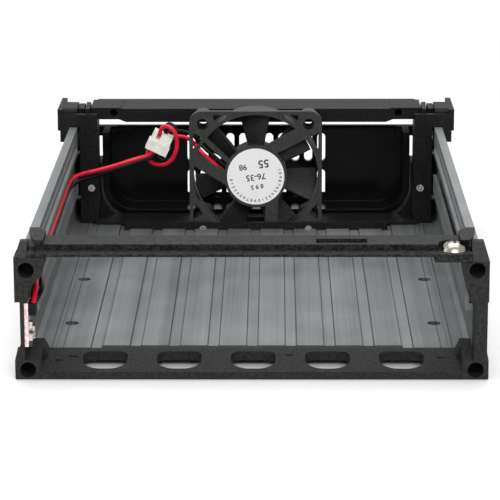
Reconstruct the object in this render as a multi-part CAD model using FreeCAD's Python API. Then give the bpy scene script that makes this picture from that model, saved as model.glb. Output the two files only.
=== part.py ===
import FreeCAD, Part
import math
import os

# Hot swap drive cage for one 3.5 inch drive, open at the top, seen from its connector end.
# Millimetres, +Z up, +Y from the connector end to the front end, +X to the right of someone who
# looks in at the connector end. The origin is the centre of the footprint, on the table.

# Drive that the cage carries: the 3.5 inch form
drive_width = 101.6
drive_hole_edge = 3.175
drive_hole_spacing_y = 44.45
first_drive_hole = 36.0
drive_hole_radius = 1.8
side_room = 3.3

# Aluminium channel, one extrusion
wall_thickness = 2.3
wall_top = 34.05
wall_web = 1.0
wall_cove = 1.0
floor_underside = 2.0
floor_thickness = 2.2
wall_start = 8.0
channel_length = 148.0
floor_groove_width = 2.9
floor_groove_depth = 0.4
floor_groove_pitch = 9.9
floor_groove_count = 9
edge_groove_width = 0.7
edge_groove_from_wall = 4.1

# Cable trough along the inside of both walls
trough_lip_top = 21.2
trough_depth = 3.8
trough_foot = 1.8
trough_lip_thickness = 1.0
trough_lip_setback = 8.0
trough_width = 0.95
ridge_below_top = 6.75
ridge_height = 2.1
ridge_reach = 0.6
score_below_top = 2.65
score_depth = 0.3

# Latch slot near the front end of each wall
latch_slot_length = 10.0
latch_slot_height = 4.0
latch_slot_from_frame = 5.0
latch_slot_below_top = 10.85

# Connector frame, black moulding at the near end
frame_overhang = 2.6
frame_depth = 13.5
frame_front_lip = 1.8
frame_sill_lift = 1.6
frame_floor_drop = 0.1
frame_tongue = 1.9
frame_tongue_from_wall = 15.7
post_skin_depth = 16.0
corner_block_bottom = 19.8
corner_front_drop = 3.75
corner_slope_depth = 5.1
corner_bevel = 1.4
lower_block_top = 4.8
lower_block_rise = 1.2
lower_block_rear_rise = 1.9
lower_block_width = 6.4
left_post_inset = 1.5
right_post_inset = 0.45
right_post_width = 3.6
right_post_top_width = 7.0
right_post_neck = (6.4, 4.4)
right_post_step_width = 4.95
right_post_step_rise = 0.3
right_post_step_drop = 0.4
right_post_rebate = 0.5
left_post_top_width = 8.0
left_post_neck = (6.7, 5.1)
left_post_waist = (5.3, 6.4)
left_post_step = (4.0, 2.7)
left_post_base_width = 3.2
foot_flare_height = 3.9
guide_hole_radius = 2.0
guide_hole_depth = 7.0
guide_hole_edge = 3.2
guide_hole_spacing_z = 25.65
guide_hole_low = 2.3
frame_vent_length = 11.2
frame_vent_width = 9.5
frame_vent_pitch = 18.67
frame_vent_count = 5
frame_vent_setback = 2.0
frame_vent_offset = 0.36
vent_near_radius = 4.6
vent_far_radius = 2.4
sill_mark_length = 2.2
sill_mark_width = 0.9
sill_mark_depth = 0.6
sill_marks = ((-48.6, 6.6), (-45.2, 8.7), (9.5, 9.5), (47.6, 8.1))

# Crossbar, a loose black moulding across the top of the connector end
crossbar_below_wall = 0.45
crossbar_thickness = 2.2
crossbar_ledge_height = 0.7
crossbar_ledge_depth = 4.1
crossbar_depth = 13.6
crossbar_before_wall = 0.3
crossbar_left_inset = 3.4
crossbar_right_inset = 4.5
tongue_depth = 17.3
tongue_height = 0.6
tongue_reach = 2.3
tongue_neck = 1.2
tongue_rib = 2.2
top_recess_length = 12.7
top_recess_width = 4.4
top_recess_depth = 1.0
top_recess_x = 22.4
top_recess_y = 7.8

# Block at the crossbar's right end that takes the thumb screw
lug_width = 9.3
lug_depth = 7.7
lug_drop = 1.35
cover_screw_inset = 4.25
cover_screw_y = 4.9
cover_screw_radius = 1.5
cover_screw_head_radius = 3.35
cover_screw_head_height = 2.4
cover_screw_tip = 0.5
screw_pocket_radius = 4.0
cross_slot_reach = 1.6
cross_slot_width = 0.7
cross_slot_depth = 1.1

# Circuit board in the left post
board_thickness = 1.2
board_height = 11.2
board_bottom = 8.1
board_front_gap = 0.8
board_rear_gap = 0.6
board_skin = 0.7
board_fit = 0.05
solder_joint_size = 1.6
solder_joint_height = 0.9
solder_joint_setback = 0.8
solder_joint_rises = (1.4, 4.6)
chip_setback = 3.4
chip_rise = 1.2
chip_length = 2.2
chip_width = 3.2
chip_height = 1.3
terminal_setback = 1.0
terminal_below_top = 0.4
terminal_length = 4.4
terminal_width = 3.0
terminal_height = 1.8

# Front frame, black moulding at the far end
front_frame_lap = 9.0
front_frame_depth = 9.5
post_to_wall = 0.6
post_width = 5.5
post_below_ear = 2.0
surround_overhang = 1.6
ear_overhang = 2.0
ear_wall_rise = 3.95
ear_wall_thickness = 1.5
ear_skirt_drop = 4.55
ear_top_rise = 5.4
ear_fin_width = 1.3
ear_fin_past_frame = 1.5
ear_above_wall = 0.15
ear_setback = 0.5
ear_block_gap = 0.4
ear_block_round = 1.2
ear_skirt_inset = 0.7
ear_skirt_lap = 1.4
cheek_above_skirt = 3.5
outer_cheek = 1.6
bridge_thickness = 1.25
bar_overhang = 2.2
bar_behind_fan = 0.3
bar_past_hinge = 4.7
bar_above_wall = 0.7
bar_height = 4.1
bar_bevel = 3.0
bar_end_rise = 0.3
bar_end_length = 9.2
bar_notch_height = 0.85
bar_notch_length = 6.25
bar_notch_slope = 2.2
bar_hole_radius = 1.1
bar_hole_inset = 6.9
bar_hole_below_top = 1.2
bar_hole_depth = 8.0
sill_top = 4.3
sill_flange = 0.8
sill_flange_reach = 2.2
floor_notch_inset = 8.0
fan_foot_height = 6.1
fan_foot_thickness = 1.2
fan_foot_gap = 0.2
fan_seat_radius = 3.4
fan_seat_rise = 1.0

# Fan, 40 mm square
fan_size = 40.0
fan_depth = 10.0
fan_before_frame = 5.8
fan_hole_edge = 4.0
fan_hole_radius = 1.7
fan_lift = 0.05
fan_rim = 1.1
fan_flange = 1.7
fan_barrel_wall = 0.9
fan_corner_boss = 3.2
fan_corner_radius = 3.7
fan_pocket_length = 5.1
fan_pocket_from_hole = 2.6
fan_pocket_reach = 3.9
fan_pocket_skew = 0.6
fan_screw_reach = 1.4
fan_base_radius = 9.5
fan_base_thickness = 1.5
fan_strut_width = 3.7
fan_strut_sweep = -25.0
fan_strut_root = 1.5
fan_strut_taper = 1.1
lead_wall_angle = 153.0
lead_wall_width = 1.4
lead_wall_sweep = -10.0
fan_strut_angles = (68, 188, 308)
fan_blade_count = 7
fan_blade_thickness = 0.8
fan_blade_chords = (7.2, 9.6, 11.6)
fan_blade_pitches = (52.0, 42.0, 34.0)
fan_blade_sink = 0.4
first_blade_angle = 12.0
fan_tip_gap = 0.6
rotor_radius = 9.2
rotor_wall = 0.7
rotor_top = 1.2
rotor_lift = 0.9
rotor_end_gap = 0.3
shaft_radius = 1.0
bearing_radius = 2.0
bearing_clearance = 0.03
bearing_seat = 0.8
shaft_end_gap = 0.3
boss_radius = 2.7
boss_to_rotor = 1.2
magnet_thickness = 1.3
magnet_setback = 0.5
driver_board_thickness = 0.6
stator_air_gap = 0.7
stator_lift = 1.4
stator_length = 3.2
stator_ring = 0.9
pole_width = 1.6
pole_face = 0.8
pole_gap = 1.2
coil_build = 0.6
coil_gap = 0.1

# Front door, glossy black, hinged at the two ears
door_side_gap = 0.8
door_bottom = 4.2
door_below_hinge = 5.2
door_depth = 13.0
door_wall = 2.0
door_panel = 2.0
door_corner_radius = 9.7
door_gap = 0.5
door_shoulder_height = 2.9
door_shoulder_lap = 1.2
door_shoulder_reach = 4.0
door_arm_rear_rise = 0.5
door_arm_front_drop = 2.5
door_grip_height = 5.0
door_grip_reach = 2.0
door_grip_end_gap = 2.0
door_grip_low_bevel = 0.8
door_grip_high_bevel = 1.5
door_vent_width = 2.5
door_vent_length = 8.9
door_vent_pitch = 4.05
door_vent_columns = 11
door_vent_row_gap = 2.6
door_vent_bottom = 7.5
hinge_above_wall = 1.45
hinge_behind_frame = 6.5
hinge_pin_radius = 1.25
hinge_running_gap = 0.05
knuckle_radius = 3.2
inner_cheek_gap = 0.7
inner_cheek_width = 1.1
hinge_lug_width = 1.8
hinge_lug_length = 8.0
hinge_side_gap = 0.35
outer_knuckle_width = 3.4

# Bezel surround that closes the frame round the door
surround_depth = 10.5
surround_below_door = 3.8
surround_sill = 3.0
surround_gap = 0.5
surround_step_gap = 1.7
surround_step_z = 21.0
surround_corner_radius = 2.0
surround_seat = 4.0

# Small screws
small_screw_radius = 1.1
small_head_radius = 2.1
small_head_height = 1.0
post_screw_from_edge = 2.0
post_screw_z = 15.3
post_screw_tip = 0.7
side_screw_z = (11.0, 25.0)
far_screw_tip = 2.5

# Fan lead, harness and their two-pin coupling
wire_diameter = 1.25
coupling_x = -28.9
coupling_y = 142.5
coupling_z = 30.4
coupling_tilt = 26.0
plug_width = 6.0
plug_height = 4.4
plug_length = 3.1
socket_length = 3.0
socket_wall = 0.4
coupling_gap = 0.05
plug_notch_inset = 1.2
plug_notch_width = 1.3
plug_notch_depth = 2.0
plug_notch_past_middle = 0.2
contact_radius = 0.35
contact_pitch = 2.0
contact_reach = 1.2
contact_lead = 0.5
contact_room = 0.8

clearance = 0.1
nothing = 0.01

# Places that follow from the sizes
drive_hole_spacing_x = drive_width - 2 * drive_hole_edge
wall_inner = drive_width / 2 + side_room
channel_half = wall_inner + wall_thickness
web_inner = channel_half - wall_web
floor_top = floor_underside + floor_thickness
channel_end = wall_start + channel_length
front_frame_y = channel_end - front_frame_lap
trough_floor = trough_lip_top - trough_depth
lip_outer_face = web_inner - trough_width
lip_inner_face = lip_outer_face - trough_lip_thickness
ridge_underside = wall_top - ridge_below_top
frame_half = channel_half + frame_overhang
frame_tongue_half = wall_inner - frame_tongue_from_wall
sill_rear_top = floor_top - frame_floor_drop
crossbar_top = wall_top - crossbar_below_wall
crossbar_underside = crossbar_top - crossbar_thickness
crossbar_ledge_top = crossbar_underside + crossbar_ledge_height
crossbar_right_end = frame_half - crossbar_right_inset
crossbar_left_end = frame_half - crossbar_left_inset
lug_underside = crossbar_underside - lug_drop
cover_screw_x = crossbar_right_end - cover_screw_inset
fan_front = front_frame_y - fan_before_frame
fan_back = fan_front + fan_depth
fan_z = fan_size / 2 + fan_lift
fan_bore_radius = fan_size / 2 - fan_rim
fan_hole_offset = fan_size / 2 - fan_hole_edge
front_frame_end = front_frame_y + front_frame_depth
ear_fin_end = front_frame_end + ear_fin_past_frame
post_half = wall_inner - post_to_wall
opening_half_width = post_half - post_width
notch_half_width = opening_half_width - floor_notch_inset
surround_half_width = channel_half + surround_overhang
ear_half_width = surround_half_width + ear_overhang
foot_front = fan_front - clearance - fan_foot_thickness
floor_end = foot_front - fan_foot_gap
surround_start = front_frame_end
hinge_y_from_face = front_frame_end + hinge_behind_frame
hinge_z = wall_top + hinge_above_wall
bar_half_width = opening_half_width + bar_overhang
bar_underside = wall_top + bar_above_wall
bar_top = bar_underside + bar_height
post_screw_x = opening_half_width + post_screw_from_edge
door_half_width = opening_half_width - door_side_gap
door_top = hinge_z - door_below_hinge
door_start = front_frame_end + door_gap
door_end = door_start + door_depth
surround_top = door_top - surround_below_door
overall_depth = door_end + door_grip_reach
face_y = -overall_depth / 2


def at(distance):
    """Y of a point that lies this far behind the connector face."""
    return face_y + distance


def box(x0, x1, y0, y1, z0, z1):
    corner = FreeCAD.Vector(min(x0, x1), min(y0, y1), min(z0, z1))
    return Part.makeBox(abs(x1 - x0), abs(y1 - y0), abs(z1 - z0), corner)


def polygon_prism(points, direction):
    wire = Part.makePolygon([FreeCAD.Vector(*p) for p in points + points[:1]])
    return Part.Face(wire).extrude(FreeCAD.Vector(*direction))


def prism_xz(points, y0, y1):
    """Outline in X and Z, extruded along Y."""
    return polygon_prism([(x, y0, z) for x, z in points], (0, y1 - y0, 0))


def prism_yz(points, x0, x1):
    """Outline in Y and Z, extruded along X."""
    return polygon_prism([(x0, y, z) for y, z in points], (x1 - x0, 0, 0))


def prism_xy(points, z0, z1):
    """Outline in X and Y, extruded along Z."""
    return polygon_prism([(x, y, z0) for x, y in points], (0, 0, z1 - z0))


def rod(radius, length, centre, axis):
    """Cylinder that starts at centre and runs along axis."""
    return Part.makeCylinder(radius, length, FreeCAD.Vector(*centre), FreeCAD.Vector(*axis))


def mirrored(shape):
    """The same shape on the other side of the middle plane."""
    return shape.mirror(FreeCAD.Vector(0, 0, 0), FreeCAD.Vector(1, 0, 0))


def both_sides(shape):
    return [shape, mirrored(shape)]


def joined(shapes):
    solid = shapes[0]
    for shape in shapes[1:]:
        solid = solid.fuse(shape)
    return solid.removeSplitter()


def without(solid, cuts):
    for cut in cuts:
        solid = solid.cut(cut)
    return solid


def obround_z(x, y, length, width, z0, z1):
    """Upright slot with round ends, its length along X."""
    radius = width / 2
    straight = length / 2 - radius
    middle = box(x - straight, x + straight, y - radius, y + radius, z0, z1)
    ends = [rod(radius, z1 - z0, (x + side * straight, y, z0), (0, 0, 1)) for side in (-1, 1)]
    return joined([middle] + ends)


def countersunk_screw(tip, axis, length, radius, head_radius, head_height):
    """Screw from its tip along its axis to the flat of its head."""
    direction = FreeCAD.Vector(*axis)
    start = FreeCAD.Vector(*tip)
    shank = Part.makeCylinder(radius, length - head_height, start, direction)
    head_start = start + direction * (length - head_height)
    head = Part.makeCone(radius, head_radius, head_height, head_start, direction)
    return shank.fuse(head).removeSplitter()


def save(name, solids):
    shape = Part.makeCompound(solids) if len(solids) > 1 else solids[0]
    shape.exportStep("parts/" + name + ".step")
    print(name, len(shape.Solids), "solids", round(shape.Volume, 1), "mm3", shape.isValid())


# Aluminium channel: one profile, extruded, then its ends are milled and its holes drilled
def wall_inner_profile():
    """Points down the inside of the right wall, from its top edge to the floor."""
    ridge_top = ridge_underside + ridge_height
    ridge_face = wall_inner - ridge_reach
    score_z = wall_top - score_below_top
    foot_underside = trough_floor - trough_foot
    return [
        (wall_inner, wall_top),
        (wall_inner, score_z + score_depth),
        (wall_inner + score_depth, score_z),
        (wall_inner, score_z - score_depth),
        (wall_inner, ridge_top),
        (ridge_face, ridge_top - ridge_reach),
        (ridge_face, ridge_underside),
        (web_inner, ridge_underside),
        (web_inner, trough_floor),
        (lip_outer_face, trough_floor),
        (lip_outer_face, trough_lip_top),
        (lip_inner_face, trough_lip_top),
        (lip_inner_face, foot_underside),
        (web_inner, foot_underside),
        (web_inner, floor_top + wall_cove),
        (web_inner - wall_cove, floor_top),
    ]


def channel_profile():
    inner_right = wall_inner_profile()
    inner_left = [(-x, z) for x, z in reversed(inner_right)]
    outer_left = [(-channel_half, wall_top), (-channel_half, floor_underside)]
    outer_right = [(channel_half, floor_underside), (channel_half, wall_top)]
    return outer_right + inner_right + inner_left + outer_left


def floor_grooves(y0, y1):
    grooves = []
    middle = (floor_groove_count - 1) / 2
    low = floor_top - floor_groove_depth
    for index in range(floor_groove_count):
        x = (index - middle) * floor_groove_pitch
        half = floor_groove_width / 2
        grooves.append(box(x - half, x + half, y0, y1, low, floor_top + 1))
    edge = wall_inner - edge_groove_from_wall
    grooves += both_sides(box(edge - edge_groove_width, edge, y0, y1, low, floor_top + 1))
    return grooves


def drive_screw_holes():
    cuts = []
    for x in (-drive_hole_spacing_x / 2, drive_hole_spacing_x / 2):
        for step in (0, 1):
            y = at(first_drive_hole + step * drive_hole_spacing_y)
            cuts.append(rod(drive_hole_radius, 4 * floor_thickness, (x, y, -1), (0, 0, 1)))
    return cuts


def latch_slots():
    """Round-ended slot through each wall, just ahead of the front frame."""
    radius = latch_slot_height / 2
    z = wall_top - latch_slot_below_top + radius
    y1 = at(front_frame_y - latch_slot_from_frame) - radius
    y0 = y1 - latch_slot_length + 2 * radius
    x0 = wall_inner - 2
    through = wall_thickness + 4
    ends = [rod(radius, through, (x0, y, z), (1, 0, 0)) for y in (y0, y1)]
    slot = joined([box(x0, x0 + through, y0, y1, z - radius, z + radius)] + ends)
    return both_sides(slot)


def side_screw_places(y):
    return [(y, z) for z in side_screw_z]


def side_screw_holes(y, radius):
    cuts = []
    for hole_y, z in side_screw_places(y):
        cut = rod(radius, 4 * wall_thickness, (wall_inner - 2 * wall_thickness, hole_y, z), (1, 0, 0))
        cuts += both_sides(cut)
    return cuts


def make_channel():
    y0 = at(wall_start)
    y1 = at(channel_end)
    body = prism_xz(channel_profile(), y0, y1)
    front_of_floor = at(frame_depth + clearance)
    tongue_end = front_of_floor + frame_tongue
    trough_end = at(front_frame_y - trough_lip_setback)
    milled_foot = box(0, web_inner, trough_end, y1 + 1, floor_top + wall_cove, ridge_underside)
    milled_ridge = box(0, wall_inner, trough_end, y1 + 1, ridge_underside, wall_top + 1)
    cuts = floor_grooves(y0 - 1, y1 + 1)
    cuts.append(box(-web_inner, web_inner, y0 - 1, front_of_floor, -1, floor_top + wall_cove))
    cuts.append(box(-frame_tongue_half, frame_tongue_half, y0, tongue_end, -1, floor_top))
    cuts.append(box(-notch_half_width, notch_half_width, at(floor_end), y1 + 1, -1, floor_top))
    cuts += both_sides(milled_foot) + both_sides(milled_ridge)
    cuts += drive_screw_holes()
    cuts += latch_slots()
    cuts += side_screw_holes(near_screw_y(), small_screw_radius)
    cuts += side_screw_holes(far_screw_y(), small_screw_radius)
    return without(body, cuts)


# Connector frame: a sloped sill with five vents, two posts, corner blocks and a crossbar
def sill_slope():
    """Inclined plate of even thickness with a lip that stands on the table."""
    return [
        (at(0), 0),
        (at(0), frame_front_lip),
        (at(frame_depth), sill_rear_top),
        (at(frame_depth), frame_sill_lift),
        (at(frame_front_lip), 0),
    ]


def connector_sill():
    before_walls = prism_yz(sill_slope(), -channel_half, channel_half)
    before_walls = before_walls.common(box(-frame_half, frame_half, at(0), at(wall_start - clearance),
                                           -1, floor_top + 1))
    between_walls = prism_yz(sill_slope(), clearance - web_inner, web_inner - clearance)
    tongue = box(-frame_tongue_half + clearance, frame_tongue_half - clearance,
                 at(frame_depth), at(frame_depth + frame_tongue), frame_sill_lift, sill_rear_top)
    return joined([before_walls, between_walls, tongue])


def sill_vents():
    """Openings with a tight round at their far corners and a wide one at the near corners."""
    middle = (frame_vent_count - 1) / 2
    y0 = at(frame_vent_setback)
    y1 = y0 + frame_vent_width
    vents = []
    for index in range(frame_vent_count):
        x = (index - middle) * frame_vent_pitch + frame_vent_offset
        half = frame_vent_length / 2
        block = box(x - half, x + half, y0, y1, -1, floor_top + 1)
        near_edges = [edge for edge in block.Edges if upright_at(edge, y0)]
        block = block.makeFillet(vent_near_radius, near_edges)
        far_edges = [edge for edge in block.Edges if upright_at(edge, y1)]
        vents.append(block.makeFillet(vent_far_radius, far_edges))
    return vents


def upright_at(edge, y):
    first, last = edge.Vertexes[0], edge.Vertexes[-1]
    return abs(first.Z - last.Z) > 1 and abs(first.Y - y) < nothing and abs(last.Y - y) < nothing


def sill_slots():
    """Four short blind slots in the sill's top."""
    cuts = []
    for x, distance in sill_marks:
        surface = frame_front_lip + (sill_rear_top - frame_front_lip) * distance / frame_depth
        cuts.append(obround_z(x, at(distance), sill_mark_length, sill_mark_width,
                              surface - sill_mark_depth, floor_top + 1))
    return cuts


def lower_block():
    """Block round the lower guide hole of the right post; its top slopes up to the rear."""
    inner = frame_half - lower_block_width
    rear_inner = inner + clearance
    beside_wall = at(wall_start - clearance)
    wall_z = lower_block_top + lower_block_rise
    rear_z = lower_block_top + lower_block_rear_rise
    front = [(at(0), 0), (at(0), lower_block_top), (beside_wall, wall_z), (beside_wall, 0)]
    rear = [
        (beside_wall, frame_sill_lift / 2),
        (beside_wall, wall_z),
        (at(frame_depth), rear_z),
        (at(frame_depth), frame_sill_lift),
    ]
    corner = [
        (rear_inner - lower_block_rise, floor_top),
        (rear_inner, rear_z),
        (rear_inner - lower_block_width, rear_z),
        (rear_inner - lower_block_width, floor_top),
    ]
    tail = prism_yz(rear, rear_inner - lower_block_rise, web_inner - clearance)
    tail = tail.cut(prism_xz(corner, beside_wall, at(frame_depth + 1)))
    return prism_yz(front, inner, frame_half).fuse(tail)


def corner_cap(inner):
    """Outer end of the right corner: it slopes from the front edge up to the wall top."""
    front_top = wall_top - corner_front_drop
    outline = [
        (at(0), corner_block_bottom),
        (at(0), front_top),
        (at(corner_slope_depth), wall_top),
        (at(wall_start - clearance), wall_top),
        (at(wall_start - clearance), corner_block_bottom),
    ]
    outer = frame_half - 2 * clearance
    cap = prism_yz(outline, inner, outer)
    bevel = [(outer - corner_bevel, wall_top + 1), (outer + 1, wall_top + 1), (outer + 1, front_top)]
    bevel.append((outer, front_top))
    cap = cap.cut(prism_xz(bevel, at(-1), at(frame_depth + 1)))
    skin = box(channel_half + clearance, outer, at(wall_start - 1), at(post_skin_depth),
               corner_block_bottom, front_top)
    return cap.fuse(skin)


def outer_skin(inset, z0, z1):
    """Thin side of the right post outside the channel wall."""
    return box(channel_half + clearance, frame_half - inset, at(0), at(post_skin_depth), z0, z1)


def right_post():
    outer = frame_half - 2 * clearance
    top = lug_underside - clearance
    window = frame_half - right_post_width
    inner_edge = [
        (frame_half - right_post_top_width, top),
        (frame_half - right_post_neck[0], top - right_post_neck[1]),
        (frame_half - right_post_step_width, corner_block_bottom + right_post_step_rise),
        (window, corner_block_bottom - right_post_step_drop),
        (window, lower_block_top - 1),
        (frame_half - right_post_inset, lower_block_top - 1),
        (frame_half - right_post_inset, top - right_post_rebate),
        (outer, top - right_post_rebate),
        (outer, top),
    ]
    front = prism_xz(inner_edge, at(0), at(wall_start - clearance))
    skin = outer_skin(right_post_inset, 0, corner_block_bottom)
    return joined([front, skin, lower_block(), corner_cap(crossbar_right_end + clearance)])


def left_post():
    """Like the right post mirrored, but its middle is a thin skin that leaves room for the board."""
    top = crossbar_underside - clearance
    outer = frame_half - 2 * clearance
    inner_edge = [
        (frame_half - left_post_top_width, top),
        (frame_half - left_post_neck[0], top - left_post_neck[1]),
        (frame_half - left_post_waist[0], top - left_post_waist[1]),
        (frame_half - left_post_step[0], corner_block_bottom + left_post_step[1]),
        (frame_half - left_post_base_width, corner_block_bottom),
        (outer, corner_block_bottom),
        (outer, top),
    ]
    front = prism_xz(inner_edge, at(0), at(wall_start - clearance))
    skin = outer_skin(left_post_inset, lower_block_top, corner_block_bottom)
    foot = outer_skin(0, 0, lower_block_top)
    flare = [
        (channel_half + clearance, lower_block_top),
        (frame_half, lower_block_top),
        (frame_half - left_post_inset, lower_block_top + foot_flare_height),
        (channel_half + clearance, lower_block_top + foot_flare_height),
    ]
    foot_flare = prism_xz(flare, at(0), at(post_skin_depth))
    cap = corner_cap(crossbar_left_end + clearance)
    return mirrored(joined([front, skin, foot, foot_flare, lower_block(), cap]))


# Crossbar: a strip with a low front ledge, hooked over the walls, with a block for the screw
def crossbar_profile():
    return [
        (at(0), crossbar_underside),
        (at(0), crossbar_ledge_top),
        (at(crossbar_ledge_depth), crossbar_ledge_top),
        (at(crossbar_ledge_depth), crossbar_top),
        (at(crossbar_depth), crossbar_top),
        (at(crossbar_depth), crossbar_underside),
    ]


def wall_tongue():
    """Finger at the crossbar's end that lies on the top of the wall, on a rib beside it."""
    low = wall_top + clearance
    high = low + tongue_height
    inner = wall_inner - clearance
    outline = [
        (inner - tongue_rib, at(crossbar_ledge_depth)),
        (inner - tongue_rib, at(crossbar_depth)),
        (inner, at(tongue_depth)),
        (inner + tongue_reach, at(tongue_depth)),
        (inner + tongue_neck, at(wall_start + clearance)),
        (inner, at(crossbar_ledge_depth)),
    ]
    finger = prism_xy(outline, low, high)
    rib = box(inner - tongue_rib, inner, at(crossbar_ledge_depth), at(crossbar_depth),
              crossbar_underside, high)
    return finger.fuse(rib)


def screw_pocket():
    """Round pocket behind the thumb screw's head, open to the front."""
    seat = crossbar_ledge_top
    centre = (cover_screw_x, at(cover_screw_y), seat)
    return rod(screw_pocket_radius, crossbar_top - seat + 1, centre, (0, 0, 1))


def make_crossbar():
    bar_end = wall_inner - clearance
    bar = prism_yz(crossbar_profile(), -bar_end, bar_end)
    over_posts = box(-crossbar_left_end, crossbar_right_end, at(0), at(wall_start - crossbar_before_wall),
                     crossbar_underside, crossbar_ledge_top)
    lug = box(crossbar_right_end - lug_width, crossbar_right_end, at(0), at(lug_depth),
              lug_underside, crossbar_ledge_top)
    body = joined([bar, over_posts, lug] + both_sides(wall_tongue()))
    below_lug = (cover_screw_x, at(cover_screw_y), lug_underside - 1)
    screw_hole = rod(cover_screw_radius, crossbar_top - lug_underside + 2, below_lug, (0, 0, 1))
    return without(body, [screw_pocket(), top_recess(), screw_hole])


def guide_holes():
    cuts = []
    for x in (guide_hole_edge - frame_half, frame_half - guide_hole_edge):
        for z in (guide_hole_low, guide_hole_low + guide_hole_spacing_z):
            cuts.append(rod(guide_hole_radius, guide_hole_depth + 1, (x, at(-1), z), (0, 1, 0)))
    return cuts


def top_recess():
    x0 = top_recess_x - top_recess_length / 2
    y = at(top_recess_y)
    return box(x0, x0 + top_recess_length, y - top_recess_width / 2, y + top_recess_width / 2,
               crossbar_top - top_recess_depth, crossbar_top + 1)


def near_screw_y():
    return at((wall_start + post_skin_depth) / 2)


def countersinks(y, outer_x):
    cuts = []
    for hole_y, z in side_screw_places(y):
        start = FreeCAD.Vector(outer_x - small_head_height, hole_y, z)
        cone = Part.makeCone(small_screw_radius, small_head_radius, small_head_height, start,
                             FreeCAD.Vector(1, 0, 0))
        beyond = rod(small_head_radius, 3, (outer_x, hole_y, z), (1, 0, 0))
        cuts.append(cone.fuse(beyond))
    return cuts


def make_connector_frame():
    frame = joined([connector_sill(), right_post(), left_post()])
    cuts = sill_vents() + sill_slots() + guide_holes() + [board_slot()]
    cuts += side_screw_holes(near_screw_y(), small_screw_radius)
    for (side, row), face in near_screw_faces().items():
        sink = countersinks(near_screw_y(), face)[row]
        cuts.append(sink if side > 0 else mirrored(sink))
    return without(frame, cuts)


def near_screw_faces():
    """How far out each near screw's head lies, by side and row."""
    upper = frame_half - 2 * clearance
    return {
        (1, 0): frame_half - right_post_inset,
        (1, 1): upper,
        (-1, 0): frame_half - left_post_inset,
        (-1, 1): upper,
    }


def make_near_screws():
    """Countersunk screws that hold the connector frame to the walls, two a side."""
    screws = []
    for (side, row), face in near_screw_faces().items():
        tip = (side * web_inner, near_screw_y(), side_screw_z[row])
        screws.append(countersunk_screw(tip, (side, 0, 0), face - web_inner, small_screw_radius,
                                        small_head_radius, small_head_height))
    return screws


def make_cover_screw():
    """Domed screw in the crossbar's block; its tip shows below the block."""
    seat = crossbar_ledge_top
    base = (cover_screw_x, at(cover_screw_y), seat)
    shank = rod(cover_screw_radius, seat - lug_underside + cover_screw_tip, base, (0, 0, -1))
    height = cover_screw_head_height
    dome_radius = (cover_screw_head_radius ** 2 + height ** 2) / (2 * height)
    centre_z = seat + height - dome_radius
    ball = Part.makeSphere(dome_radius, FreeCAD.Vector(base[0], base[1], centre_z))
    blank = rod(cover_screw_head_radius, height, base, (0, 0, 1))
    head = ball.common(blank)
    top = seat + height
    for angle in (0, 90):
        arm = box(-cross_slot_reach, cross_slot_reach, -cross_slot_width / 2, cross_slot_width / 2,
                  -cross_slot_depth, 1)
        arm.rotate(FreeCAD.Vector(0, 0, 0), FreeCAD.Vector(0, 0, 1), angle)
        arm.translate(FreeCAD.Vector(base[0], base[1], top))
        head = head.cut(arm)
    return shank.fuse(head).removeSplitter()


# Circuit board on edge in the left post, with its terminal and small parts
def board_outer_x():
    return frame_half - left_post_inset - board_skin - board_fit


def board_slot():
    """Space in the left post where the board stands."""
    outer = -board_outer_x() - board_fit
    return box(outer, outer + board_thickness + 2 * board_fit, at(board_front_gap - board_fit),
               at(wall_start - board_rear_gap + clearance), board_bottom - board_fit,
               board_bottom + board_height + board_fit)


def board_length_in_frame():
    return wall_start - board_rear_gap - board_front_gap


def make_circuit_board():
    outer = -board_outer_x()
    y0 = at(board_front_gap)
    return box(outer, outer + board_thickness, y0, y0 + board_length_in_frame(),
               board_bottom, board_bottom + board_height)


def make_board_parts():
    """Solder joints and small parts on the inner face of the board."""
    face = -board_outer_x() + board_thickness
    y0 = at(board_front_gap)
    parts = []
    joint_y = y0 + solder_joint_setback
    for rise in solder_joint_rises:
        z = board_bottom + rise
        parts.append(box(face, face + solder_joint_height, joint_y, joint_y + solder_joint_size,
                         z, z + solder_joint_size))
    chip_y = y0 + chip_setback
    chip_z = board_bottom + chip_rise
    parts.append(box(face, face + chip_height, chip_y, chip_y + chip_length, chip_z, chip_z + chip_width))
    return parts


def make_board_terminal():
    """Two-pole block that the harness is soldered into."""
    face = -board_outer_x() + board_thickness
    y0 = at(board_front_gap) + terminal_setback
    top = board_bottom + board_height - terminal_below_top
    return box(face, face + terminal_height, y0, y0 + terminal_length, top - terminal_width, top)


# Front frame: posts between the walls, ears for the hinge, a top bar and a sill behind the fan
def far_screw_y():
    return at((front_frame_y + ear_wall_thickness + front_frame_end) / 2)


def front_posts():
    post = box(opening_half_width, post_half, at(front_frame_y), at(front_frame_end),
               floor_top + clearance, wall_top + ear_wall_rise - post_below_ear)
    return both_sides(post)


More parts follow.
